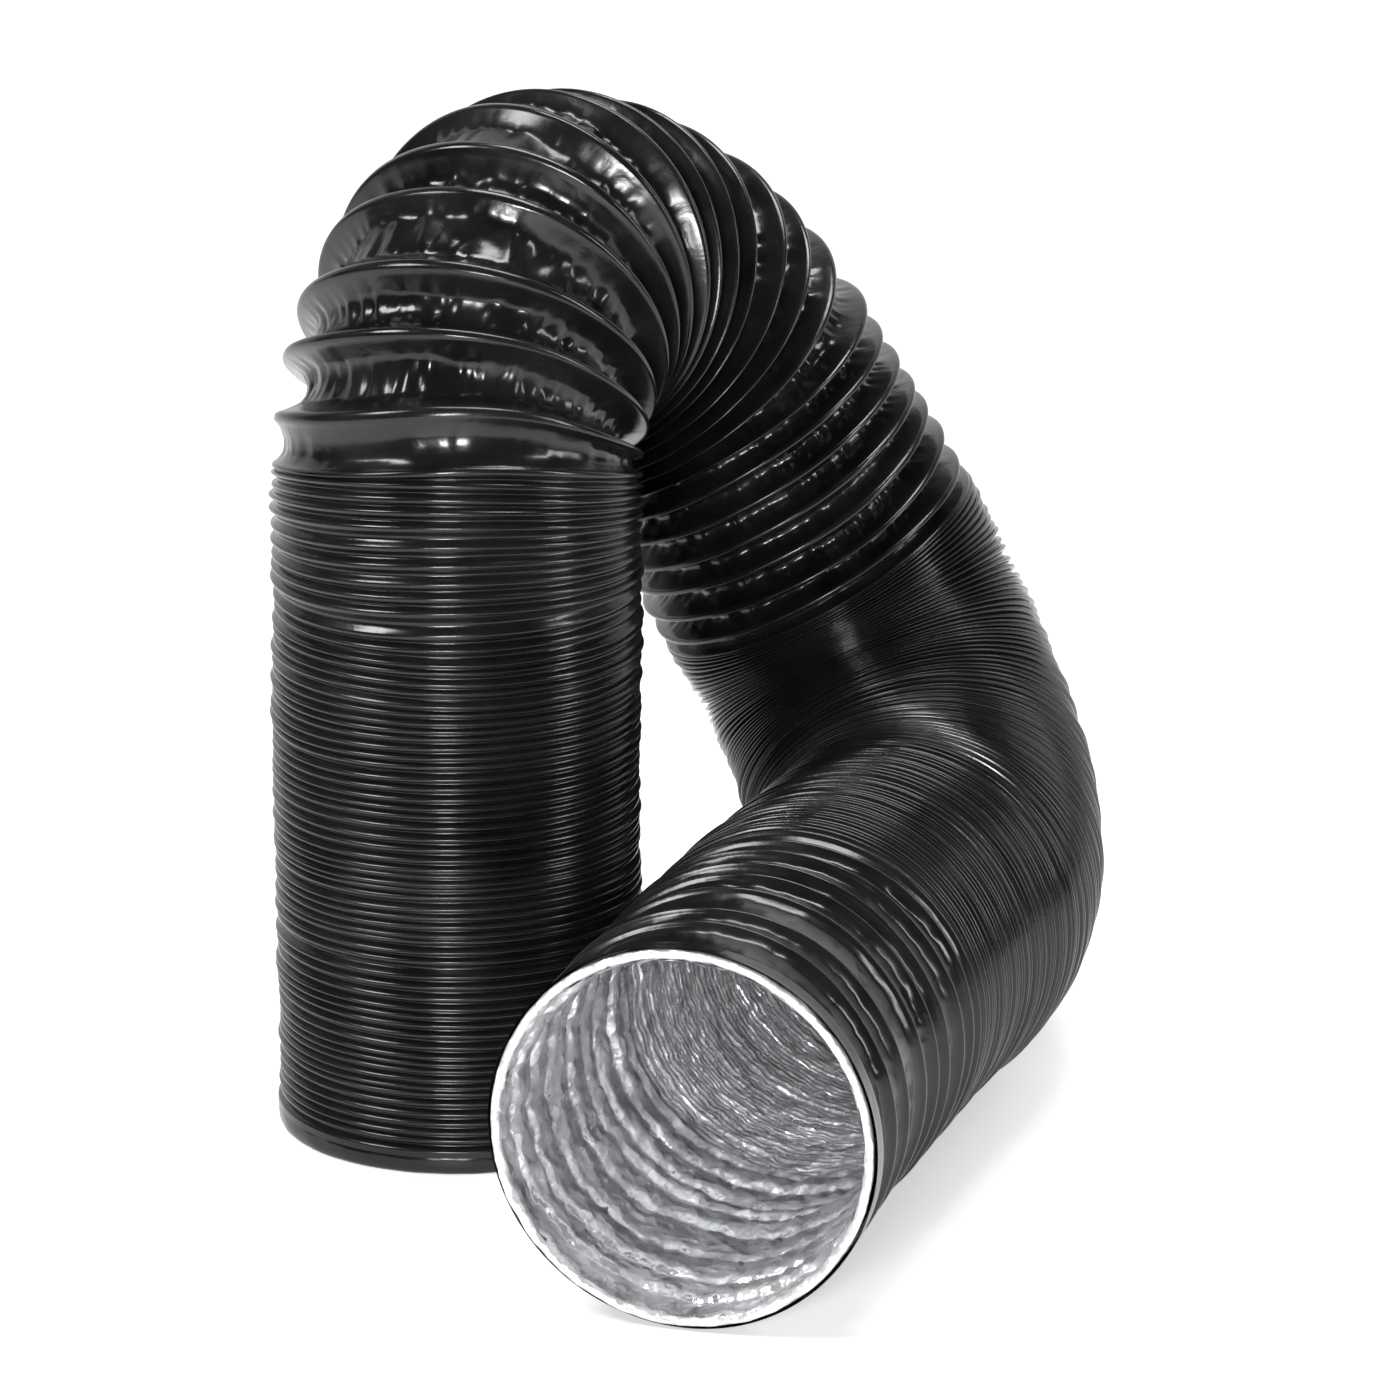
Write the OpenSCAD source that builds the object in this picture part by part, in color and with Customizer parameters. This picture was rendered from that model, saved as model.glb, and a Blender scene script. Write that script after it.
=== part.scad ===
// Flexible air duct: a black film sleeve and a foil liner on one long spring wire,
// standing packed on its foot, arched over, and laid back along the floor.
// Millimetres, +Z up, origin at the centre of the foot opening on the floor.

/* [Hose] */
// Outside diameter over the wire's beads
duct_d = 157; // [130:1:160]
// Thickness of the outer sleeve, folds included
sleeve_t = 1.6; // [1:0.1:2]
// Thickness of the inner foil liner, folds included
liner_t = 0.5; // [0.3:0.1:0.8]
// Diameter of the spring wire
wire_d = 1; // [0.8:0.1:1.1]
// Clearance between one layer and the next
layer_gap = 0.2; // [0.15:0.05:0.3]

/* [Turns] */
// Distance between turns in the standing stack
stack_pitch = 4; // [3.5:0.5:6]
// Distance between turns where the stack loosens below the arch
shoulder_pitch = 5; // [4:0.5:8]
// Distance between turns over the arch
arch_pitch = 18.5; // [16:0.5:24]
// Distance between turns in the falling length
fall_pitch = 14; // [10:1:20]
// Distance between turns packed round the elbow and along the floor
run_pitch = 3.5; // [3.5:0.5:6]
// Distance between turns in the pulled-out length at the mouth
mouth_pitch = 20; // [12:1:24]

/* [Ends] */
// Length of the black hem at the foot
foot_hem_l = 8; // [5:1:15]
// Length of the foil hem at the mouth
mouth_hem_l = 6; // [4:1:12]

/* [Flexing lengths] */
// Length that flexes where the stack meets the arch
shoulder_l = 80; // [60:1:120]
// Length that flexes where the elbow meets the floor run
swing_l = 54; // [40:1:60]
// Length that pulls out along the floor
pull_l = 52; // [40:1:60]
// Length that flexes behind the mouth
turn_l = 50; // [40:1:60]
// Rigid length between the pull and the turn
collar_l = 12; // [8:1:20]

/* [Hidden] */

$fn = 96;
// A leg that turns less than this is straight, and is drawn with cylinders
straight_deg = 0.01;
// Two lengths of one layer never quite touch
end_gap = 0.1;

// Radii of the layers, from the outside in
sleeve_r = duct_d / 2;
sleeve_in = sleeve_r - sleeve_t;
wire_r = sleeve_in - layer_gap - wire_d / 2;
liner_r = wire_r - wire_d / 2 - layer_gap;
liner_in = liner_r - liner_t;

// The centreline. Each leg bends evenly from the last leg's heading to its own:
// length, azimuth and elevation of the heading at its end.
ARCH = 2;
FALL = 6;
ELBOW = 7;
FLOOR = 9;
MOUTH = 10;
legs = [
    [230, 90, 90],
    [55, 75, 77],
    [60, 68, 35],
    [65, 65, -10],
    [55, 45, -30],
    [80, 10, -60],
    [0, 10, -60],
    [115, -75, -35],
    [105, -112, 0],
    [250, -106, 0],
    [45, -106, 0]
];

function heading(az, el) = [cos(el) * cos(az), cos(el) * sin(az), sin(el)];
function unit(v) = v / norm(v);
function sum(v, n) = n == 0 ? 0 : v[n - 1] + sum(v, n - 1);

// Heading at the start and the end of leg i, and the angle between them
function head_in(i) = i == 0 ? [0, 0, 1] : heading(legs[i - 1][1], legs[i - 1][2]);
function head_out(i) = heading(legs[i][1], legs[i][2]);
function turn(i) = acos(min(1, head_in(i) * head_out(i)));
function is_straight(i) = turn(i) < straight_deg;
// The side that leg i bends towards
function side(i) = is_straight(i)
    ? unit(cross(head_in(i), abs(head_in(i).z) > 0.9 ? [0, -1, 0] : [0, 0, 1]))
    : unit(head_out(i) - (head_in(i) * head_out(i)) * head_in(i));
// Where a point s along a leg of length l lies from the leg's start
function shift(i, l, s) = is_straight(i)
    ? s * head_in(i)
    : let (r = l / turn(i) * 180 / PI, a = turn(i) * s / l)
        r * (sin(a) * head_in(i) + (1 - cos(a)) * side(i));
// The whole run of leg i, and where leg i starts
function whole_shift(i) = let (l = i == FALL ? fall_leg : legs[i][0]) shift(i, l, l);
function foot_of(i) = i == 0 ? [0, 0, 0] : foot_of(i - 1) + whole_shift(i - 1);

// The fall is as long as it takes for the floor run to lie on the floor
fall_leg = (foot_of(FALL).z + whole_shift(ELBOW).z + whole_shift(ELBOW + 1).z - sleeve_r)
    / -head_in(FALL).z;
lengths = [for (i = [0:len(legs) - 1]) i == FALL ? fall_leg : legs[i][0]];
starts = [for (i = [0:len(legs)]) sum(lengths, i)];
total_l = starts[len(legs)];

feet = [for (i = [0:len(legs) - 1]) foot_of(i)];

// Stations along the centreline where a length that flexes meets a rigid one
arch_s = starts[ARCH];
shoulder_s = arch_s - shoulder_l;
fall_s = starts[FALL];
elbow_s = starts[ELBOW];
swing_s = starts[FLOOR];
run_s = swing_s + swing_l;
mouth_s = starts[MOUTH];
turn_s = mouth_s - turn_l;
collar_s = turn_s - collar_l;
pull_s = collar_s - pull_l;

// Name, from, to and turn spacing of each length of duct
SPANS = [
    ["stack", foot_hem_l, shoulder_s, stack_pitch],
    ["shoulder", shoulder_s, arch_s, shoulder_pitch],
    ["arch", arch_s, fall_s, arch_pitch],
    ["fall", fall_s, elbow_s, fall_pitch],
    ["elbow", elbow_s, swing_s, run_pitch],
    ["swing", swing_s, run_s, run_pitch],
    ["run", run_s, pull_s, run_pitch],
    ["pull", pull_s, collar_s, mouth_pitch],
    ["collar", collar_s, turn_s, mouth_pitch],
    ["turn", turn_s, mouth_s, mouth_pitch],
    ["mouth", mouth_s, total_l - mouth_hem_l, mouth_pitch]
];

// Puts its children at distance s along leg i: their +Z is the heading and +X the side it bends to
module at_leg(i, s) {
    a = is_straight(i) ? 0 : turn(i) * s / lengths[i];
    z = cos(a) * head_in(i) + sin(a) * side(i);
    x = cos(a) * side(i) - sin(a) * head_in(i);
    y = cross(z, x);
    p = feet[i] + shift(i, lengths[i], s);
    multmatrix([
        [x.x, y.x, z.x, p.x],
        [x.y, y.y, z.y, p.y],
        [x.z, y.z, z.z, p.z],
        [0, 0, 0, 1]
    ]) children();
}

// A tube along leg i, from a to b
module leg_tube(i, a, b, outer, inner) {
    at_leg(i, a)
    if (is_straight(i)) {
        difference() {
            cylinder(r = outer, h = b - a);
            translate([0, 0, -1]) cylinder(r = inner, h = b - a + 2);
        }
    } else {
        bend_r = lengths[i] / turn(i) * 180 / PI;
        translate([bend_r, 0, 0]) rotate([-90, 0, 0]) rotate([0, 0, 180])
        rotate_extrude(angle = turn(i) * (b - a) / lengths[i])
        translate([bend_r, 0]) difference() {
            circle(r = outer);
            circle(r = inner);
        }
    }
}

// A tube along the duct from station a to station b, one solid for each leg that it crosses
module duct_tube(a, b, outer, inner) {
    for (i = [0:len(legs) - 1]) {
        low = max(a, starts[i]) + end_gap / 2;
        high = min(b, starts[i + 1]) - end_gap / 2;
        if (high - low > 1) leg_tube(i, low - starts[i], high - starts[i], outer, inner);
    }
}

// The leg that a station falls on
function leg_at(s) = max([for (i = [0:len(legs) - 1]) s >= starts[i] ? i : 0]);

// One turn of the wire, drawn as a closed ring of square section
module wire_turn(s) {
    at_leg(leg_at(s), s - starts[leg_at(s)])
    translate([0, 0, -wire_d / 2]) difference() {
        cylinder(r = wire_r + wire_d / 2, h = wire_d);
        translate([0, 0, -1]) cylinder(r = wire_r - wire_d / 2, h = wire_d + 2);
    }
}

// Outer film sleeve over one length
module sleeve(k) {
    color([0.03, 0.03, 0.035]) duct_tube(SPANS[k][1], SPANS[k][2], sleeve_r, sleeve_in);
}

// Inner foil liner over one length
module liner(k) {
    color([0.78, 0.79, 0.8]) duct_tube(SPANS[k][1], SPANS[k][2], liner_r, liner_in);
}

// Turns of the spring wire over one length, spread evenly
module wire(k) {
    span = SPANS[k][2] - SPANS[k][1];
    turns = max(1, round(span / SPANS[k][3]));
    color([0.55, 0.52, 0.42])
    for (j = [0:turns - 1]) wire_turn(SPANS[k][1] + span * (j + 0.5) / turns);
}

// Black film folded in at the foot, which the duct stands on
module foot_hem() {
    color([0.03, 0.03, 0.035]) leg_tube(0, 0, foot_hem_l - end_gap, sleeve_r, liner_in);
}

// Bright foil folded over the end of the duct at the mouth
module mouth_hem() {
    color([0.9, 0.9, 0.9])
    leg_tube(MOUTH, lengths[MOUTH] - mouth_hem_l, lengths[MOUTH], sleeve_r, liner_in);
}

for (k = [0:len(SPANS) - 1]) {
    sleeve(k);
    liner(k);
    wire(k);
}
foot_hem();
mouth_hem();
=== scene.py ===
"""Flexible air duct: black film over a spring wire, foil liner, on a pale floor."""
import math

import bpy
import numpy as np
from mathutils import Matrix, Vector


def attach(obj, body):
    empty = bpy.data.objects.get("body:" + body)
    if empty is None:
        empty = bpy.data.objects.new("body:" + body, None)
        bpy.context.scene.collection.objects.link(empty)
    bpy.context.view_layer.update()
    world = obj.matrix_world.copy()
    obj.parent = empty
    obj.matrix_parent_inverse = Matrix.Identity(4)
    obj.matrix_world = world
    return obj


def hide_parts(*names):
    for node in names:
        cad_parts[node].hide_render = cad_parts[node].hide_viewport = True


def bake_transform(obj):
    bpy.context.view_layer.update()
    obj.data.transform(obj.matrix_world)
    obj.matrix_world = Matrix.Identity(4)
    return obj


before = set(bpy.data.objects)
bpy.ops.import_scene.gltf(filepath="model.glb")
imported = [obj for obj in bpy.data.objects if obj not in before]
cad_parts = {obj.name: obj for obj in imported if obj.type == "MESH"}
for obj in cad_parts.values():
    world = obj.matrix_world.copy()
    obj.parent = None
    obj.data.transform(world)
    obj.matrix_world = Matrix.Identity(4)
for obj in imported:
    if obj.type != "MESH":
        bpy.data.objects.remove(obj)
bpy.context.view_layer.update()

MM = 0.001

# ---------------------------------------------------------------- the duct's sizes, mm
DUCT_R = 78.5  # outside radius over the beads
BEAD_R = 1.5  # half the width of a bead
LINER_GAP = 0.9  # from the bottom of a bead to the liner
RIM_R = 75.0  # radius of the opening
FILM_LENGTH = 37.0  # film between two turns
WIRE_R = 0.55
WIRE_DEPTH = 1.3  # from the crown of a bead to the middle of its wire
OPEN_GAP = 7  # turns further apart than this have open film between them
END_GAP = 4  # from the last turn at each end to the end of its film

# ---------------------------------------------------------------- the meshes' rows
AROUND = 224
THETA = np.arange(AROUND) * 2 * math.pi / AROUND
PACKED_ROWS = 8  # from one packed turn to the next
FILM_ROWS = 17  # over the open film between two beads
BEAD_ROWS = [0, 0.5, 1.0, 1.5, 2.1]  # over half a bead, mm from its crown
SAME_ROW = 0.05  # rows closer to an end than this are left out, mm
WIRE_SIDES, WIRE_AROUND = 6, 96

# ---------------------------------------------------------------- the centreline
# Each leg of the centreline, as in the CAD: length, azimuth and elevation of its end heading
LEGS = [
    (230, 90, 90), (55, 75, 77), (60, 68, 35), (65, 65, -10), (55, 45, -30), (80, 10, -60),
    (0, 10, -60), (115, -75, -35), (105, -112, 0), (250, -106, 0), (45, -106, 0),
]
ARCH, FALL, ELBOW, FLOOR, MOUTH = 2, 6, 7, 9, 10
SHOULDER_LENGTH, SWING_LENGTH, PULL_LENGTH, COLLAR_LENGTH, TURN_LENGTH = 80, 54, 52, 12, 50
FOOT_HEM, MOUTH_HEM = 8, 0.8  # how much of each end is the hem's
STRAIGHT = 1e-4  # a leg that turns less than this is straight, radians
STEP = 0.25  # spacing of the centreline table, mm
SMOOTHED_STEPS = 81  # the curve is averaged over this many of them
LEAST_SPREAD = 0.03


def heading(az, el):
    az, el = math.radians(az), math.radians(el)
    return np.array([math.cos(el) * math.cos(az), math.cos(el) * math.sin(az), math.sin(el)])


def leg_points(point, start, end, length, s):
    """Points and headings at distances s along one leg that bends evenly from start to end."""
    angle = math.acos(min(1.0, float(start @ end)))
    if angle < STRAIGHT:
        return point + s[:, None] * start, np.repeat(start[None], len(s), 0)
    side = end - (start @ end) * start
    side /= np.linalg.norm(side)
    radius, a = length / angle, angle * s[:, None] / length
    place = point + radius * (np.sin(a) * start + (1 - np.cos(a)) * side)
    return place, np.cos(a) * start + np.sin(a) * side


def leg_ends(lengths):
    """Where each leg starts, and the end of the last one."""
    point, start, out = np.zeros(3), heading(90, 90), []
    for length, (_, az, el) in zip(lengths, LEGS):
        out.append((point, start))
        place, turned = leg_points(point, start, heading(az, el), length, np.array([float(length)]))
        point, start = place[0], turned[0]
    return out, point


def centreline():
    """The fall's length is whatever lays the floor run on the floor."""
    lengths = [float(leg[0]) for leg in LEGS]
    drop = leg_ends(lengths)[1][2] - DUCT_R
    lengths[FALL] = drop / -heading(*LEGS[FALL][1:])[2]
    starts = leg_ends(lengths)[0]
    places, turns = [], []
    for (point, start), length, (_, az, el) in zip(starts, lengths, LEGS):
        s = np.arange(0, length, STEP)
        place, turned = leg_points(point, start, heading(az, el), length, s)
        places.append(place)
        turns.append(turned)
    at = np.concatenate([[0], np.cumsum(lengths)])
    s = np.concatenate([at[i] + np.arange(0, n, STEP) for i, n in enumerate(lengths)])
    return s, np.concatenate(places), np.concatenate(turns), at


S, PLACE, ALONG, LEG_AT = centreline()
TOTAL = LEG_AT[-1]


def carried_frames():
    """A direction across the duct at every step, carried along without twisting."""
    across = np.zeros_like(ALONG)
    across[0] = [1, 0, 0]
    for i in range(1, len(S)):
        v = across[i - 1] - (across[i - 1] @ ALONG[i]) * ALONG[i]
        across[i] = v / np.linalg.norm(v)
    return across


def smoothed_curve():
    """How fast the heading turns, averaged so that it doesn't jump from leg to leg."""
    curve = np.gradient(ALONG, S, axis=0)
    weights = np.ones(SMOOTHED_STEPS) / SMOOTHED_STEPS
    return np.stack([np.convolve(curve[:, k], weights, mode="same") for k in range(3)], 1)


ACROSS = carried_frames()
UP = np.cross(ALONG, ACROSS)
CURVE = smoothed_curve()


def table_at(table, s):
    return np.stack([np.interp(s, S, table[:, k]) for k in range(3)], -1)


def outward(s, theta):
    """The direction from the centreline to the wall at angle theta."""
    across, up = table_at(ACROSS, s), table_at(UP, s)
    return np.cos(theta)[..., None] * across + np.sin(theta)[..., None] * up


def point_on(s, theta, radius):
    """The point at distance s and angle theta; past either end the duct goes on straight."""
    past = (s - np.clip(s, 0, TOTAL))[..., None]
    middle = table_at(PLACE, s) + past * table_at(ALONG, s)
    return middle + radius[..., None] * outward(s, theta)


def spread(s, theta):
    """How far apart the turns stand at that side of a bend, against the centreline."""
    lean = (table_at(CURVE, s) * outward(s, theta)).sum(-1)
    return np.maximum(1 - DUCT_R * lean, LEAST_SPREAD)


# ---------------------------------------------------------------- seeded noise round the duct
LATTICE_LENGTH = 64
FEWEST_FOLDS = 6  # round the duct
FOLD_STRETCH = 1.3  # a fold's length along the duct, against its width round it
FOLD_LAYERS = [(1, 0.5, 0), (0.55, 0.3, 1), (0.3, 0.2, -1)]  # size, weight and lean of each layer


def lattice(seed, around):
    return np.random.default_rng(seed).random((around, LATTICE_LENGTH))


def smooth_noise(table, theta, v, skew=0):
    """Value noise from 0 to 1, periodic round the duct; skew leans its grain."""
    around, along = table.shape
    u = (theta / (2 * math.pi) % 1) * around
    v = v + skew * u * along / around
    i, j = np.floor(u).astype(int), np.floor(v).astype(int)
    a, b = u - i, v - j
    a, b = a * a * (3 - 2 * a), b * b * (3 - 2 * b)
    i0, i1, j0, j1 = i % around, (i + 1) % around, j % along, (j + 1) % along
    low = table[i0, j0] * (1 - a) + table[i1, j0] * a
    high = table[i0, j1] * (1 - a) + table[i1, j1] * a
    return low * (1 - b) + high * b


def creases(seed, theta, s, cell):
    """Sharp folds, 0 to 1: ridged noise in three sizes and two leans. cell is in mm."""
    out = 0
    for k, (size, weight, skew) in enumerate(FOLD_LAYERS):
        around = max(FEWEST_FOLDS, round(2 * math.pi * DUCT_R / (cell * size)))
        n = smooth_noise(lattice(seed + k, around), theta, s / (cell * size * FOLD_STRETCH), skew)
        out = out + weight * (1 - np.abs(2 * n - 1)) ** 1.5
    return out


# ---------------------------------------------------------------- lengths of duct and their turns
def spans():
    """Name, body, the body that it blends to, from, to, turn spacing, most that the film dips."""
    at = LEG_AT
    shoulder = at[ARCH] - SHOULDER_LENGTH
    run = at[FLOOR] + SWING_LENGTH
    turn = at[MOUTH] - TURN_LENGTH
    collar = turn - COLLAR_LENGTH
    pull = collar - PULL_LENGTH
    return [
        ("stack", "standing_stack", None, FOOT_HEM, shoulder, 4.0, 1.7),
        ("shoulder", "standing_stack", "arch", shoulder, at[ARCH], 5.0, 2.2),
        ("arch", "arch", None, at[ARCH], at[FALL], 18.5, 7.0),
        ("fall", "arch", "elbow", at[FALL], at[ELBOW], 14.0, 7.0),
        ("elbow", "elbow", None, at[ELBOW], at[FLOOR], 3.5, 1.5),
        ("swing", "elbow", "floor_run", at[FLOOR], run, 3.5, 1.5),
        ("run", "floor_run", None, run, pull, 3.5, 1.5),
        ("pull", "floor_run", "collar", pull, collar, 18.0, 1.6),
        ("collar", "collar", None, collar, turn, 20.0, 1.6),
        ("turn", "collar", "mouth", turn, at[MOUTH], 20.0, 1.6),
        ("mouth", "mouth", None, at[MOUTH], TOTAL - MOUTH_HEM, 20.0, 1.6),
    ]


SPANS = spans()
BUNCHES = [(2.0, 13), (0.9, 4.6)]  # size and length of the waves in which packed turns bunch, mm
STRAY = 0.13  # share of its gap that a turn may stray
WIDEST_STRAY = 14  # the widest gap counted for that, mm
SWELL_RANGE = (-0.8, 0.4)  # how much smaller or larger a turn may be, mm


def all_turns():
    """Every turn of the wire: its station, the film's dip after it, and how far it swells."""
    out = []
    for _, _, _, a, b, pitch, dip in SPANS:
        n = max(1, round((b - a) / pitch))
        for j in range(n):
            share = (j + 0.5) / n
            s = a + (b - a) * share
            bunch = 0
            if pitch < OPEN_GAP:
                bunch = sum(size * math.sin(s / length) for size, length in BUNCHES)
            out.append((s + bunch * math.sin(math.pi * share) ** 0.5, dip))
    rng = np.random.default_rng(5)
    stations = np.array([s for s, _ in out])
    gaps = np.diff(stations, prepend=stations[0] - END_GAP)
    stations = stations + rng.uniform(-STRAY, STRAY, len(out)) * np.minimum(gaps, WIDEST_STRAY)
    return stations, np.array([d for _, d in out]), rng.uniform(*SWELL_RANGE, len(out))


TURNS, DIPS, SWELL = all_turns()
FADE = 12  # the turns come square to the duct over this much of each end, mm
LEAN, LEAN_PHASE, WANDER = 0.16, 0.6, 0.5  # as shares of the gap between turns
SLOW_SWELL, QUICK_SWELL = 1.8, 0.7  # mm
MEAN_TURN_R = DUCT_R - 1.1


def window(s):
    """Fades to nothing at the two cut ends."""
    return np.clip(np.minimum(s, TOTAL - s) / FADE, 0, 1)


def turn_lean(s, theta):
    """Turns of a helix lean and wander a little: how far a turn stands off its station."""
    gap = np.interp(s, TURNS[:-1], np.diff(TURNS))
    wander = smooth_noise(lattice(11, 5), theta, s / 30) - 0.5
    return gap * (LEAN * np.sin(theta + LEAN_PHASE) + WANDER * wander) * window(s)


def turn_radius(s, theta):
    """The turns swell and shrink slightly along the duct."""
    slow = smooth_noise(lattice(21, 4), theta, s / 45) - 0.5
    quick = smooth_noise(lattice(22, 9), theta, s / 9) - 0.5
    return MEAN_TURN_R + SLOW_SWELL * slow + QUICK_SWELL * quick + np.interp(s, TURNS, SWELL)


def rows_between(a, b):
    """Stations of the mesh's rows from a to b, dense at each bead and even over the film."""
    rows = [a, b]
    edges = np.concatenate([[TURNS[0] - END_GAP], TURNS, [TOTAL + END_GAP]])
    for low, high in zip(edges[:-1], edges[1:]):
        gap = high - low
        if gap < OPEN_GAP:
            part = np.linspace(0, 1, PACKED_ROWS, endpoint=False) * gap
        else:
            bead = np.array(BEAD_ROWS)
            film = np.linspace(bead[-1], gap - bead[-1], FILM_ROWS)[1:-1]
            part = np.concatenate([bead, film, gap - bead[:0:-1]])
        rows += [low + p for p in part if a + SAME_ROW < low + p < b - SAME_ROW]
    return np.array(sorted(rows))


# ---------------------------------------------------------------- the film's and the foil's shape
OPEN_FROM, OPEN_OVER = 6, 8  # film counts as open from this gap, and fully over this much more, mm
LEAST_SLACK = 4  # of the film across a stretched gap, mm squared
DEEPEST_GROOVE = 1.5  # between packed turns, mm
GROOVE_SHARE = 0.33  # of the gap between them
DEEP_DIP = 7  # film that dips this much is creased in full, mm
LEAST_CREASED = 0.3
CREASE_FADE = 3  # from a bead to film creased in full, mm


def hollow_between(s, theta, gap, dip, near):
    """How far open film hangs in between two turns, which is less where they spread apart."""
    wide = gap * spread(s, theta)
    slack = np.sqrt(np.maximum(FILM_LENGTH ** 2 - wide ** 2, LEAST_SLACK)) / 2
    past_bead = np.clip((near - BEAD_R) / np.maximum(gap / 2 - BEAD_R, 0.5), 0, 1)
    return np.minimum(dip, slack) * np.sin(math.pi / 2 * past_bead) ** 0.75


def crumple(s, theta):
    """Creases of slack film: large, small and fine puckers."""
    pucker = 1 - np.abs(2 * smooth_noise(lattice(51, 70), theta, s / 40) - 1)
    return 4.6 * creases(31, theta, s, 36) + 2.6 * creases(41, theta, s, 16) + 0.9 * pucker


def foil_folds(s, theta, open_film):
    """Facets of crumpled foil, and finer pleats where the duct is packed."""
    facets = 3.2 * creases(61, theta, s, 34) + 1.6 * creases(71, theta, s, 12)
    pleats = 2.4 * creases(81, theta, s, 9) * (1 - open_film)
    return facets * (0.35 + 0.65 * open_film), pleats


def film_radius(s, theta, lined):
    """Radius of the sleeve, or of the liner inside it, at station s."""
    k = np.clip(np.searchsorted(TURNS, s) - 1, 0, len(TURNS) - 2)
    gap = TURNS[k + 1] - TURNS[k]
    x = np.clip((s - TURNS[k]) / gap, 0, 1)
    near = np.minimum(x, 1 - x) * gap
    open_film = np.clip((gap - OPEN_FROM) / OPEN_OVER, 0, 1)
    hollow = hollow_between(s, theta, gap, DIPS[k], near)
    deepest = np.minimum(DEEPEST_GROOVE, GROOVE_SHARE * gap)
    groove = deepest * np.clip(2 * near / gap, 0, 1) ** 2
    creased = np.clip(DIPS[k] / DEEP_DIP, LEAST_CREASED, 1)
    creased = creased * np.clip((near - BEAD_R) / CREASE_FADE, 0, 1) * open_film
    sunk = open_film * hollow + (1 - open_film) * groove + creased * crumple(s, theta)
    base = turn_radius(s, theta)
    if lined:
        # always clear inside the sleeve and the wire
        facets, pleats = foil_folds(s, theta, open_film)
        return base - BEAD_R - LINER_GAP - sunk - facets - pleats
    side = np.minimum(near, BEAD_R) / BEAD_R
    bead = BEAD_R * (1 - np.sqrt(np.maximum(1 - side ** 2, 0)))
    return base - bead - sunk


# ---------------------------------------------------------------- meshes
def new_object(name, points, faces):
    """A smooth-shaded mesh object in the scene."""
    mesh = bpy.data.meshes.new(name)
    mesh.from_pydata(points.reshape(-1, 3).tolist(), [], faces.tolist())
    mesh.polygons.foreach_set("use_smooth", np.ones(len(faces), bool))
    mesh.update()
    obj = bpy.data.objects.new(name, mesh)
    bpy.context.scene.collection.objects.link(obj)
    return obj


def sheet_mesh(name, points, flip=False):
    """A sheet that closes round the duct, from rows of points in metres."""
    n, m = points.shape[:2]
    i, j = np.meshgrid(np.arange(n - 1), np.arange(m), indexing="ij")
    k = (j + 1) % m
    quads = np.stack([i * m + j, i * m + k, (i + 1) * m + k, (i + 1) * m + j], -1).reshape(-1, 4)
    return new_object(name, points, quads[:, ::-1] if flip else quads)


def ring_mesh(name, rows, lined):
    """A sheet round the duct, one ring of vertices for each row."""
    s, theta = np.meshgrid(rows, THETA, indexing="ij")
    moved = s + turn_lean(s, theta)
    points = point_on(moved, theta, film_radius(s, theta, lined)) * MM
    return sheet_mesh(name, points, flip=lined)


def wire_mesh(name, stations):
    """The turns of the wire under their beads, as round closed rings."""
    theta = np.arange(WIRE_AROUND) * 2 * math.pi / WIRE_AROUND
    theta = np.repeat(theta[:, None], WIRE_SIDES, 1)
    section = (np.arange(WIRE_SIDES) * 2 * math.pi / WIRE_SIDES)[None]
    i, j = np.meshgrid(np.arange(WIRE_AROUND), np.arange(WIRE_SIDES), indexing="ij")
    i1, j1 = (i + 1) % WIRE_AROUND, (j + 1) % WIRE_SIDES
    quads = np.stack([i * WIRE_SIDES + j, i1 * WIRE_SIDES + j,
                      i1 * WIRE_SIDES + j1, i * WIRE_SIDES + j1], -1).reshape(-1, 4)
    parts, faces = [], []
    for n, station in enumerate(stations):
        s = np.full(theta.shape, station)
        moved = s + turn_lean(s, theta) + WIRE_R * np.sin(section)
        radius = turn_radius(s, theta) - WIRE_DEPTH + WIRE_R * np.cos(section)
        parts.append(point_on(moved, theta, radius))
        faces.append(quads + n * WIRE_AROUND * WIRE_SIDES)
    return new_object(name, np.concatenate(parts) * MM, np.concatenate(faces))


# ---------------------------------------------------------------- materials
def material(name, color, metallic, roughness):
    mat = bpy.data.materials.new(name)
    mat.use_nodes = True
    shader = mat.node_tree.nodes["Principled BSDF"]
    shader.inputs["Base Color"].default_value = (*color, 1)
    shader.inputs["Metallic"].default_value = metallic
    shader.inputs["Roughness"].default_value = roughness
    return mat, shader


def noise_node(mat, scale, detail=4.0, distortion=0.0):
    nodes, links = mat.node_tree.nodes, mat.node_tree.links
    where = nodes.new("ShaderNodeTexCoord")
    noise = nodes.new("ShaderNodeTexNoise")
    noise.inputs["Scale"].default_value = scale
    noise.inputs["Detail"].default_value = detail
    noise.inputs["Distortion"].default_value = distortion
    links.new(where.outputs["Object"], noise.inputs["Vector"])
    return noise.outputs["Fac"]


def crackle(mat, scale):
    """Straight-edged facets, as in crumpled foil."""
    nodes, links = mat.node_tree.nodes, mat.node_tree.links
    where = nodes.new("ShaderNodeTexCoord")
    cells = nodes.new("ShaderNodeTexVoronoi")
    cells.feature = "F1"
    cells.inputs["Scale"].default_value = scale
    cells.inputs["Detail"].default_value = 1.0
    links.new(where.outputs["Object"], cells.inputs["Vector"])
    return cells.outputs["Distance"]


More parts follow.
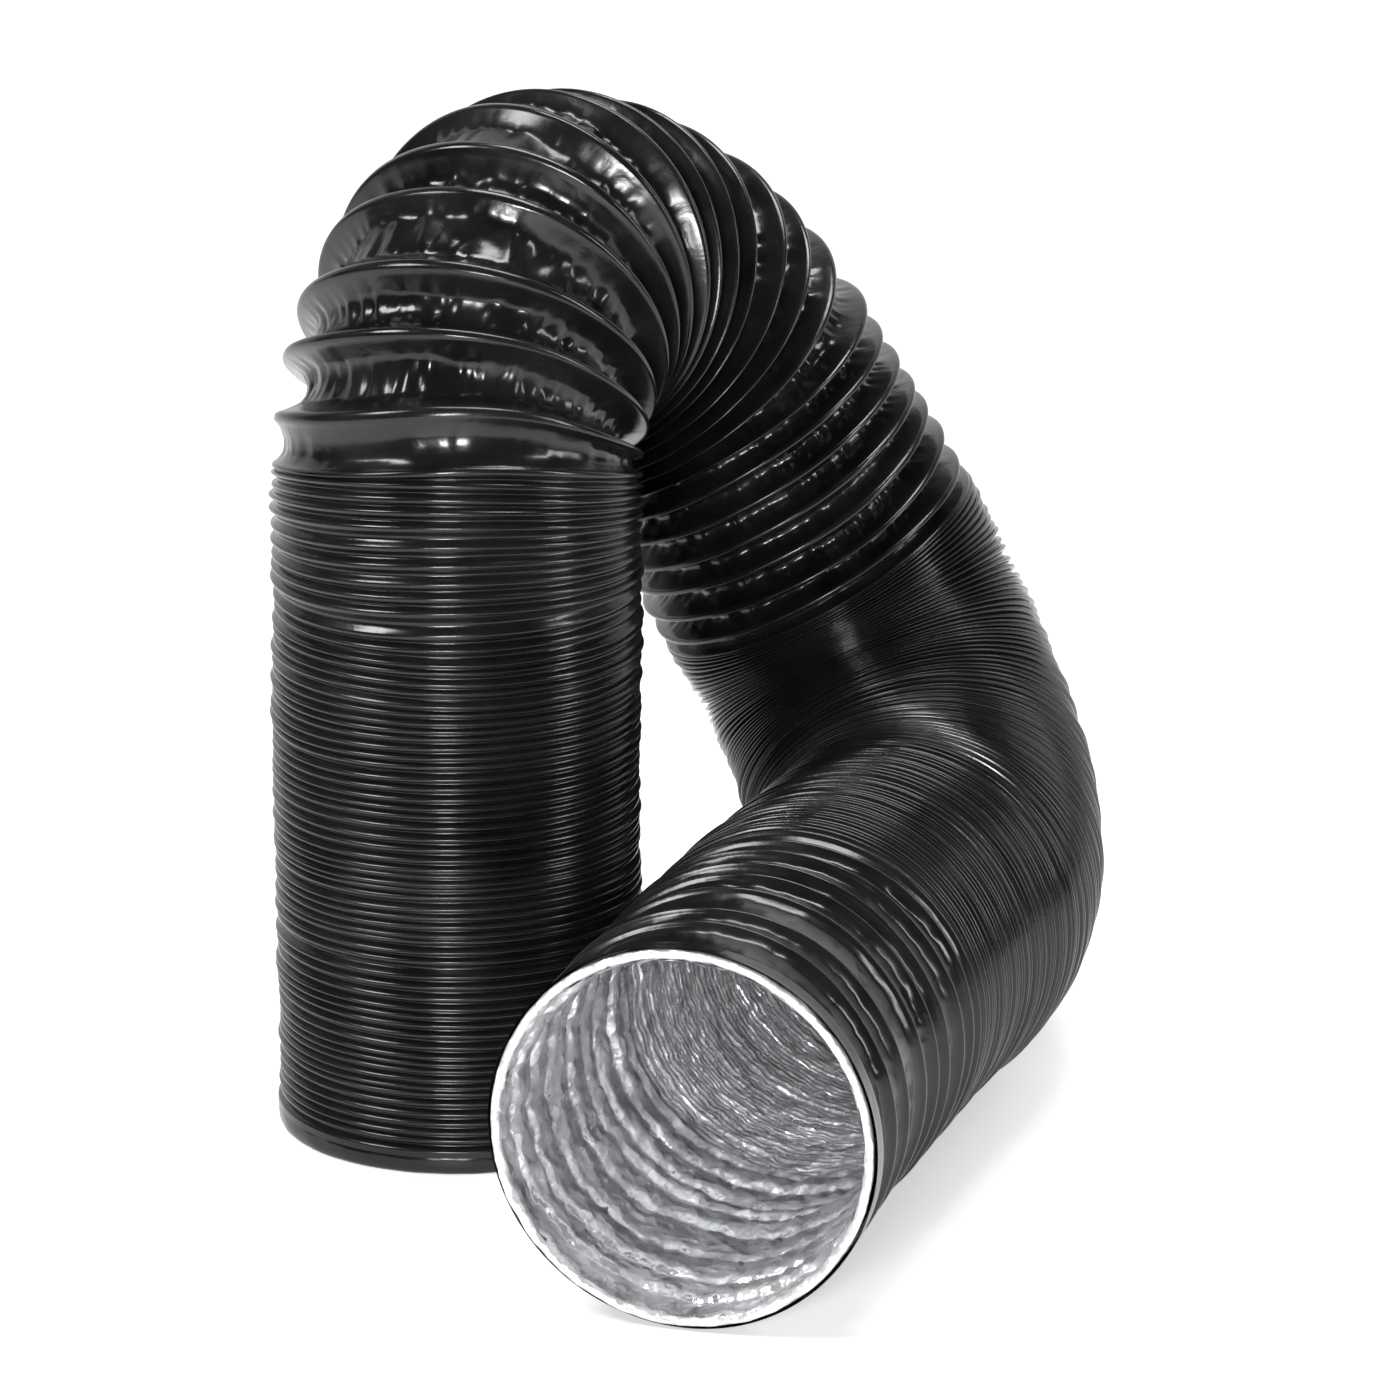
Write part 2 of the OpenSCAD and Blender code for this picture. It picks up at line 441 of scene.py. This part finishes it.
def vary(mat, shader, socket, source, low, high):
    """Lets a socket of the shader wander between two values with a noise."""
    node = mat.node_tree.nodes.new("ShaderNodeValToRGB")
    node.color_ramp.elements[0].position = 0.3
    node.color_ramp.elements[1].position = 0.7
    node.color_ramp.elements[0].color = (*low, 1)
    node.color_ramp.elements[1].color = (*high, 1)
    mat.node_tree.links.new(source, node.inputs["Fac"])
    mat.node_tree.links.new(node.outputs["Color"], shader.inputs[socket])


def bump(mat, shader, source, strength, distance, under=None):
    node = mat.node_tree.nodes.new("ShaderNodeBump")
    node.inputs["Strength"].default_value = strength
    node.inputs["Distance"].default_value = distance
    mat.node_tree.links.new(source, node.inputs["Height"])
    if under is not None:
        mat.node_tree.links.new(under, node.inputs["Normal"])
    mat.node_tree.links.new(node.outputs["Normal"], shader.inputs["Normal"])
    return node.outputs["Normal"]


def black_film():
    mat, shader = material("black_film", (0.006, 0.006, 0.007), 0.0, 0.2)
    shader.inputs["Specular IOR Level"].default_value = 0.4
    tone = noise_node(mat, 35)
    vary(mat, shader, "Base Color", tone, (0.004,) * 3, (0.01,) * 3)
    vary(mat, shader, "Roughness", tone, (0.16,) * 3, (0.28,) * 3)
    first = bump(mat, shader, noise_node(mat, 90, 3, 0.8), 0.3, 0.0006)
    bump(mat, shader, crackle(mat, 70), 0.12, 0.0006, first)
    return mat


def foil():
    mat, shader = material("foil", (0.85, 0.86, 0.88), 0.8, 0.24)
    tone = noise_node(mat, 60)
    vary(mat, shader, "Base Color", tone, (0.78, 0.79, 0.81), (0.96, 0.96, 0.97))
    vary(mat, shader, "Roughness", tone, (0.16,) * 3, (0.34,) * 3)
    first = bump(mat, shader, crackle(mat, 60), 0.8, 0.003)
    bump(mat, shader, crackle(mat, 170), 0.5, 0.0012, first)
    return mat


def hem_foil():
    mat, shader = material("hem_foil", (0.8, 0.8, 0.82), 0.5, 0.35)
    vary(mat, shader, "Base Color", noise_node(mat, 90), (0.66, 0.66, 0.68), (0.85, 0.85, 0.87))
    bump(mat, shader, crackle(mat, 130), 0.8, 0.002)
    return mat


def wire_steel():
    mat, shader = material("wire_steel", (0.42, 0.36, 0.25), 1.0, 0.3)
    vary(mat, shader, "Base Color", noise_node(mat, 300), (0.32, 0.28, 0.2), (0.5, 0.43, 0.3))
    return mat


# ---------------------------------------------------------------- the pieces
SKIRT = [  # the foot's section: station and radius, mm
    (8, DUCT_R - 1.6), (6.5, DUCT_R - 0.9), (4, DUCT_R - 0.8), (1.6, DUCT_R - 1.0),
    (0.3, DUCT_R - 1.8), (0.1, DUCT_R - 3.0), (1.0, RIM_R - 0.6), (8, RIM_R - 0.8),
]
FOLD = [  # the mouth's section, from the duct's end and the sleeve's radius there, mm
    (-3.5, -1.4), (-1.6, -1.1), (-0.6, -1.5), (0, -2.4), (-0.1, -3.4), (-0.6, -4.4),
    (-1.8, -5.2), (-3.6, -5.6), (-6, -5.6),
]


def place_piece(obj, mat, node, body):
    """Gives a piece its looks, hides the CAD part that it stands for, and attaches it to the body
    that it rides on, where one is given.
    """
    obj.data.materials.append(mat)
    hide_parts(node)
    if body is not None:
        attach(obj, body)


def place_length(obj, mat, span, kind):
    """Places one layer of a length of duct; a length at a joint rides on no body, its transform
    baked into its mesh.
    """
    name, body, other, a, b, _, _ = span
    node = kind + "_" + name
    place_piece(obj, mat, node, None if other else body)
    if other:
        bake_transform(obj)


def make_lengths(film, lining, steel):
    for span in SPANS:
        name, _, _, a, b, _, _ = span
        rows = rows_between(a, b)
        inside = TURNS[(TURNS > a) & (TURNS <= b)]
        place_length(ring_mesh("film_" + name, rows, False), film, span, "sleeve")
        place_length(ring_mesh("foil_" + name, rows, True), lining, span, "liner")
        place_length(wire_mesh("turns_" + name, inside), steel, span, "wire")


def hem(name, path, ragged, seed):
    """A band round an end of the duct: path is (station, radius) pairs across its section."""
    path = np.array(path, float)
    theta = np.repeat(THETA[None], len(path), 0)
    s = np.repeat(path[:, :1], AROUND, 1)
    r = np.repeat(path[:, 1:], AROUND, 1)
    wave = creases(seed, theta, s, 14) - 0.4
    grain = smooth_noise(lattice(seed + 9, 90), theta, s / 2) - 0.5
    share = np.linspace(0, 1, len(path))[:, None]
    r = r + ragged * wave * share + 0.35 * grain
    s = s + 0.5 * ragged * wave
    return sheet_mesh(name, point_on(s, theta, r) * MM)


def make_hems(film, pale):
    edge = float(film_radius(np.full(AROUND, TOTAL - 1.0), THETA, False).mean())
    fold = [(TOTAL + along, edge + out) for along, out in FOLD]
    place_piece(hem("mouth_fold", fold, 1.8, 91), pale, "mouth_hem", "mouth")
    place_piece(hem("foot_skirt", SKIRT, 0.5, 95), film, "foot_hem", "standing_stack")


# ---------------------------------------------------------------- camera, floor and light
CAMERA_PLACE = (0.1017, -2.4128, 0.8787)
CAMERA_DIP = 16.09  # below level, degrees
SENSOR, LENS = 36, 154.3
SWEEP_R = 0.8  # of the curve from floor to backdrop, m
SWEEP_BACK = 2.2  # from the origin to where it starts


def make_camera():
    data = bpy.data.cameras.new("camera")
    data.sensor_width, data.lens = SENSOR, LENS
    cam = bpy.data.objects.new("camera", data)
    cam.location = CAMERA_PLACE
    cam.rotation_euler = (math.radians(90 - CAMERA_DIP), 0, 0)
    bpy.context.scene.collection.objects.link(cam)
    bpy.context.scene.camera = cam


def make_sweep():
    """A floor that curves up into a backdrop."""
    mat, shader = material("studio_white", (0.93, 0.93, 0.93), 0.0, 0.6)
    shader.inputs["Emission Color"].default_value = (1, 1, 1, 1)
    shader.inputs["Emission Strength"].default_value = 0.4
    rise = [(SWEEP_BACK + SWEEP_R * math.sin(a), SWEEP_R * (1 - math.cos(a)))
            for a in np.linspace(0, math.pi / 2, 16)]
    outline = [(-3.5, 0)] + rise + [(3.0, 4.0)]
    verts = np.array([(x, y, z) for y, z in outline for x in (-6, 6)])
    faces = np.array([(2 * i, 2 * i + 1, 2 * i + 3, 2 * i + 2) for i in range(len(outline) - 1)])
    obj = new_object("sweep", verts, faces)
    obj.data.materials.append(mat)


def area_light(name, place, target, size, power):
    data = bpy.data.lights.new(name, "AREA")
    data.shape = "RECTANGLE"
    data.size, data.size_y, data.energy = size[0], size[1], power
    obj = bpy.data.objects.new(name, data)
    obj.location = place
    way = Vector(np.array(target) - np.array(place))
    obj.rotation_euler = way.to_track_quat("-Z", "Y").to_euler()
    bpy.context.scene.collection.objects.link(obj)


def make_lights():
    world = bpy.data.worlds.new("studio")
    world.use_nodes = True
    background = world.node_tree.nodes["Background"]
    background.inputs["Color"].default_value = (1, 1, 1, 1)
    background.inputs["Strength"].default_value = 0.05
    bpy.context.scene.world = world
    centre = (0.1, 0.0, 0.2)
    area_light("key", (-1.5, -0.7, 1.9), centre, (0.7, 0.7), 34)
    area_light("front", (-0.2, -2.2, 0.7), (0.1, -0.2, 0.06), (0.4, 0.3), 34)
    area_light("right", (1.8, -0.5, 1.0), centre, (0.25, 1.2), 16)
    area_light("top", (0.3, 0.5, 2.3), centre, (1.2, 0.6), 34)


make_camera()
film_mat, foil_mat, hem_mat, wire_mat = black_film(), foil(), hem_foil(), wire_steel()
make_lengths(film_mat, foil_mat, wire_mat)
make_hems(film_mat, hem_mat)
make_sweep()
make_lights()
bpy.context.scene.view_settings.view_transform = "Standard"
